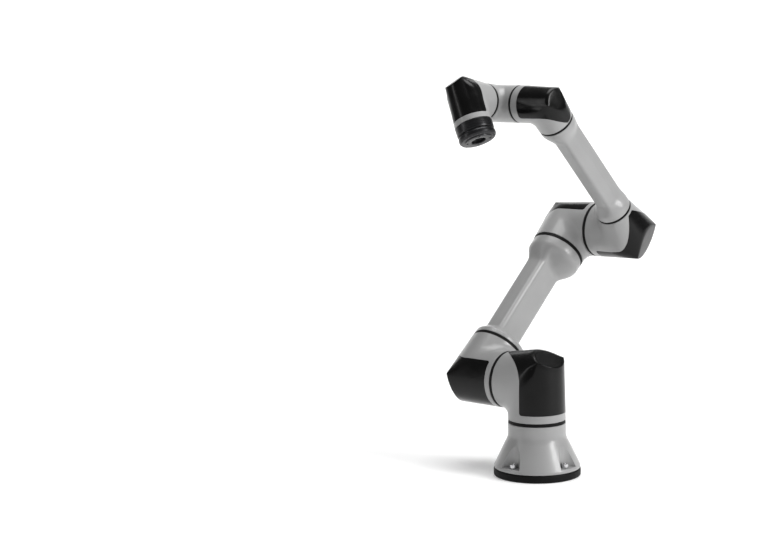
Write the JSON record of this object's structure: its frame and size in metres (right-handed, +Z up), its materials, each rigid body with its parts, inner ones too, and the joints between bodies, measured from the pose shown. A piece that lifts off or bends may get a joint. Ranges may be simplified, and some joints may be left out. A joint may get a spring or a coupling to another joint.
{
  "type": "collaborative robot arm",
  "caption": "Table-mounted jointed robot arm with a round base, right-angle joint housings, two arm tubes and a round tool flange.",
  "frame": {"origin": "centre of the base plate underside, on the surface the arm is bolted to", "axes": "+Z up along the base joint; the rest pose is the arm folded as in the picture, heading to -X"},
  "size_m": [0.4917, 0.5191, 0.8752],
  "materials": {
    "grey_paint": "satin grey paint on cast aluminium",
    "black_cover": "glossy black moulded cover",
    "seal_rubber": "matt black seal",
    "black_anodised": "black anodised, semi-gloss",
    "steel": "bright socket screws",
    "motor_black": "dark lacquer",
    "gear_steel": "machined steel",
    "bearing_steel": "ground steel"
  },
  "bodies": {
    "base": {"base_plate": "seal_rubber", "base_casting": "grey_paint", "base_bolt_1": "steel", "base_bolt_2": "steel", "base_bolt_3": "steel", "base_bolt_4": "steel", "base_cable_inlet": "black_anodised", "joint_1_seal": "seal_rubber", "joint_1_output_flange": "bearing_steel"},
    "shoulder": {"shoulder_housing": "grey_paint", "shoulder_cover": "black_cover", "joint_1_strain_gear": "gear_steel", "joint_1_motor": "motor_black", "joint_2_output_flange": "bearing_steel"},
    "upper_arm": {"upper_arm_root_housing": "grey_paint", "upper_arm_root_cover": "black_cover", "joint_2_strain_gear": "gear_steel", "joint_2_motor": "motor_black", "joint_2_seal": "seal_rubber", "upper_arm_foot_seal": "seal_rubber", "upper_arm_tube": "grey_paint", "upper_arm_head_seal": "seal_rubber", "elbow_upper_housing": "grey_paint", "elbow_upper_cover": "black_cover", "joint_3_strain_gear": "gear_steel", "joint_3_motor": "motor_black", "joint_3_seal": "seal_rubber"},
    "forearm": {"joint_3_output_flange": "bearing_steel", "elbow_lower_housing": "grey_paint", "elbow_lower_cover": "black_cover", "forearm_foot_seal": "seal_rubber", "forearm_tube": "grey_paint", "forearm_head_seal": "seal_rubber", "wrist_1_housing": "grey_paint", "wrist_1_cover": "black_cover", "joint_4_strain_gear": "gear_steel", "joint_4_motor": "motor_black", "joint_4_seal": "seal_rubber"},
    "wrist_link": {"joint_4_output_flange": "bearing_steel", "wrist_2_housing": "grey_paint", "wrist_2_cover": "black_cover", "joint_5_strain_gear": "gear_steel", "joint_5_motor": "motor_black", "joint_5_seal": "seal_rubber"},
    "wrist_end": {"joint_5_output_flange": "bearing_steel", "wrist_3_housing": "grey_paint", "wrist_3_cover": "black_cover", "joint_6_strain_gear": "gear_steel", "joint_6_motor": "motor_black"},
    "tool_mount": {"tool_drum": "black_anodised", "tool_flange": "black_anodised"}
  },
  "joints": [
    {"name": "base_yaw", "type": "hinge", "parent": "base", "child": "shoulder", "pos_m": [0, 0, 0], "axis": [0, 0, 1], "range_deg": [-360, 360]},
    {"name": "shoulder_pitch", "type": "hinge", "parent": "shoulder", "child": "upper_arm", "pos_m": [0, 0, 0.202], "axis": [-0.7266, 0.6871, 0], "range_deg": [-360, 360]},
    {"name": "elbow_pitch", "type": "hinge", "parent": "upper_arm", "child": "forearm", "pos_m": [0.11523, 0.35472, 0.50781], "axis": [-0.7266, 0.6871, 0], "range_deg": [-57, 243]},
    {"name": "wrist_1_pitch", "type": "hinge", "parent": "forearm", "child": "wrist_link", "pos_m": [0.02137, 0.0226, 0.81011], "axis": [-0.7266, 0.6871, 0], "range_deg": [-360, 360]},
    {"name": "wrist_2_turn", "type": "hinge", "parent": "wrist_link", "child": "wrist_end", "pos_m": [-0.07163, 0.11055, 0.81011], "axis": [-0.6827, -0.7219, 0.1132], "range_deg": [-360, 360]},
    {"name": "tool_turn", "type": "hinge", "parent": "wrist_end", "child": "tool_mount", "pos_m": [-0.14877, 0.02897, 0.8229], "axis": [0.2672, -0.3908, -0.8808], "range_deg": [-360, 360]}
  ]
}
